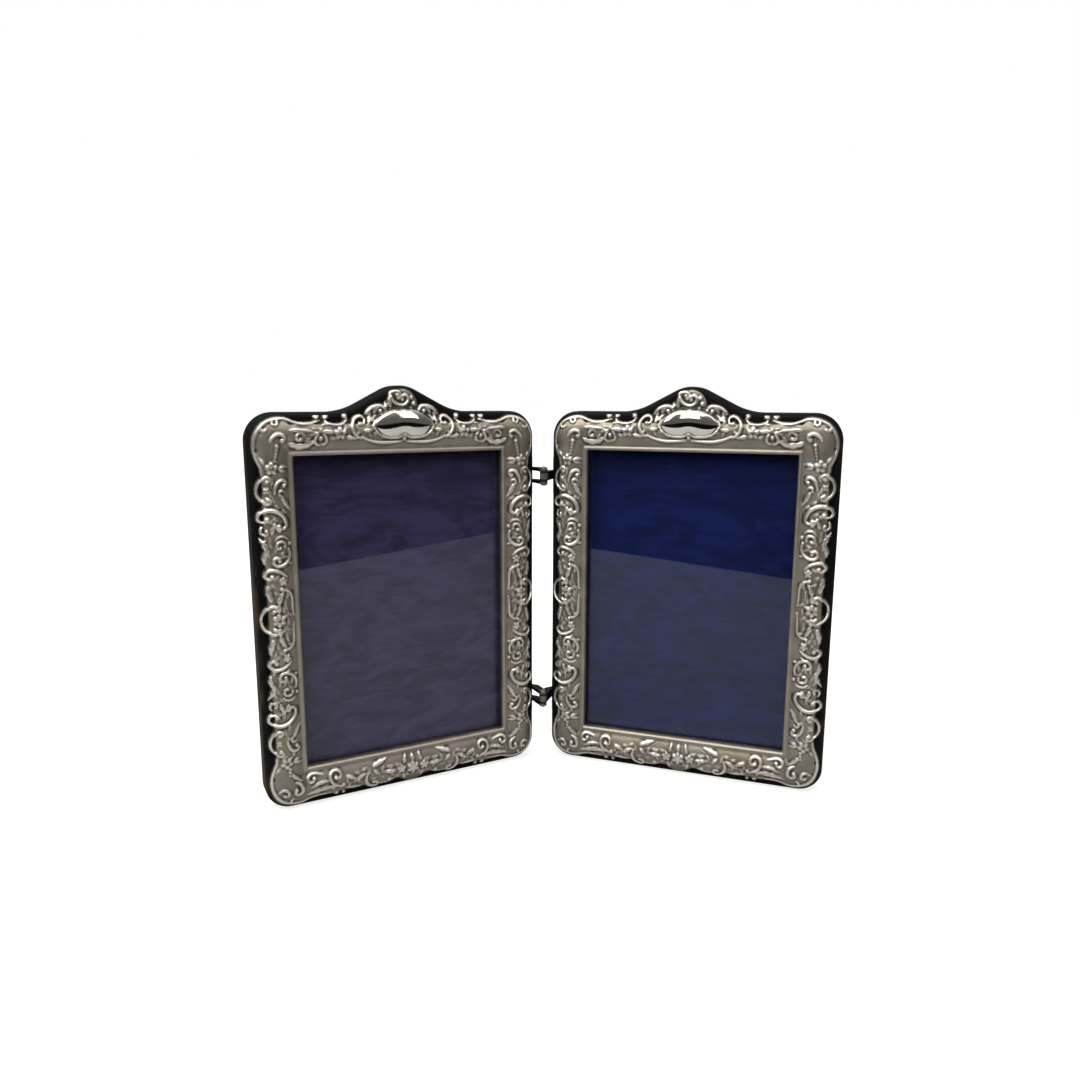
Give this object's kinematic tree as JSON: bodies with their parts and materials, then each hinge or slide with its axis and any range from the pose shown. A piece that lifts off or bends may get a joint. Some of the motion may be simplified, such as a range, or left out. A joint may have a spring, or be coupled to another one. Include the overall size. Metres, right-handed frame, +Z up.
{
  "type": "hinged double photo frame",
  "caption": "Free-standing double photo frame: leaves faced with stamped scroll silver and arched tops, joined by knuckle hinges to fold shut like a book.",
  "frame": {"origin": "on the floor, at the middle of the standing frame's box", "axes": "+Z up, +X to the right leaf, +Y to the back; the leaves open towards -Y"},
  "size_m": [0.2222, 0.0542, 0.1598],
  "materials": {
    "ebonised_wood": "black satin lacquer, worn brown at the edges",
    "stamped_silver": "antique silver, matted ground with polished highlights",
    "clear_glass": "clear",
    "purple_silk": "watered silk",
    "blue_silk": "watered silk",
    "grey_card": "matt",
    "blue_velvet": "short pile velvet",
    "brass": "dull polish",
    "dark_steel": "blackened",
    "silvered_steel": "silvered, rubbed"
  },
  "bodies": {
    "left_leaf": {"left_back_panel": "blue_velvet", "left_button_screws": "brass", "left_frame_board": "ebonised_wood", "left_glass": "clear_glass", "left_hinge_screws": "dark_steel", "left_mount_pins": "dark_steel", "left_packing_card": "grey_card", "left_silk_card": "purple_silk", "left_silver_mount": "stamped_silver", "lower_clevis": "dark_steel", "lower_hinge_pin": "silvered_steel", "upper_clevis": "dark_steel", "upper_hinge_pin": "silvered_steel"},
    "right_leaf": {"lower_tongue": "dark_steel", "right_back_panel": "blue_velvet", "right_button_screws": "brass", "right_frame_board": "ebonised_wood", "right_glass": "clear_glass", "right_hinge_screws": "dark_steel", "right_mount_pins": "dark_steel", "right_packing_card": "grey_card", "right_silk_card": "blue_silk", "right_silver_mount": "stamped_silver", "upper_tongue": "dark_steel"},
    "left_turn_button_inner_lower": {"left_turn_button_inner_lower": "brass"},
    "left_turn_button_inner_upper": {"left_turn_button_inner_upper": "brass"},
    "left_turn_button_outer_lower": {"left_turn_button_outer_lower": "brass"},
    "left_turn_button_outer_upper": {"left_turn_button_outer_upper": "brass"},
    "right_turn_button_inner_lower": {"right_turn_button_inner_lower": "brass"},
    "right_turn_button_inner_upper": {"right_turn_button_inner_upper": "brass"},
    "right_turn_button_outer_lower": {"right_turn_button_outer_lower": "brass"},
    "right_turn_button_outer_upper": {"right_turn_button_outer_upper": "brass"}
  },
  "joints": [
    {"name": "book_hinge", "type": "hinge", "parent": "left_leaf", "child": "right_leaf", "pos_m": [0, 0.0153, 0.075], "axis": [0, 0, 1], "range_deg": [-133, 47]},
    {"name": "left_outer_lower_button_turn", "type": "hinge", "parent": "left_leaf", "child": "left_turn_button_outer_lower", "pos_m": [-0.10545, -0.01529, 0.03905], "axis": [0.3987, -0.9171, 0], "range_deg": [-90, 90]},
    {"name": "left_outer_upper_button_turn", "type": "hinge", "parent": "left_leaf", "child": "left_turn_button_outer_upper", "pos_m": [-0.10545, -0.01529, 0.11105], "axis": [0.3987, -0.9171, 0], "range_deg": [-90, 90]},
    {"name": "left_inner_lower_button_turn", "type": "hinge", "parent": "left_leaf", "child": "left_turn_button_inner_lower", "pos_m": [-0.01319, 0.02483, 0.03905], "axis": [-0.3987, 0.9171, 0], "range_deg": [-90, 90]},
    {"name": "left_inner_upper_button_turn", "type": "hinge", "parent": "left_leaf", "child": "left_turn_button_inner_upper", "pos_m": [-0.01319, 0.02483, 0.11105], "axis": [-0.3987, 0.9171, 0], "range_deg": [-90, 90]},
    {"name": "right_inner_lower_button_turn", "type": "hinge", "parent": "right_leaf", "child": "right_turn_button_inner_lower", "pos_m": [0.01319, 0.02483, 0.03905], "axis": [-0.3987, -0.9171, 0], "range_deg": [-90, 90]},
    {"name": "right_inner_upper_button_turn", "type": "hinge", "parent": "right_leaf", "child": "right_turn_button_inner_upper", "pos_m": [0.01319, 0.02483, 0.11105], "axis": [-0.3987, -0.9171, 0], "range_deg": [-90, 90]},
    {"name": "right_outer_lower_button_turn", "type": "hinge", "parent": "right_leaf", "child": "right_turn_button_outer_lower", "pos_m": [0.10545, -0.01529, 0.03905], "axis": [0.3987, 0.9171, 0], "range_deg": [-90, 90]},
    {"name": "right_outer_upper_button_turn", "type": "hinge", "parent": "right_leaf", "child": "right_turn_button_outer_upper", "pos_m": [0.10545, -0.01529, 0.11105], "axis": [0.3987, 0.9171, 0], "range_deg": [-90, 90]}
  ]
}
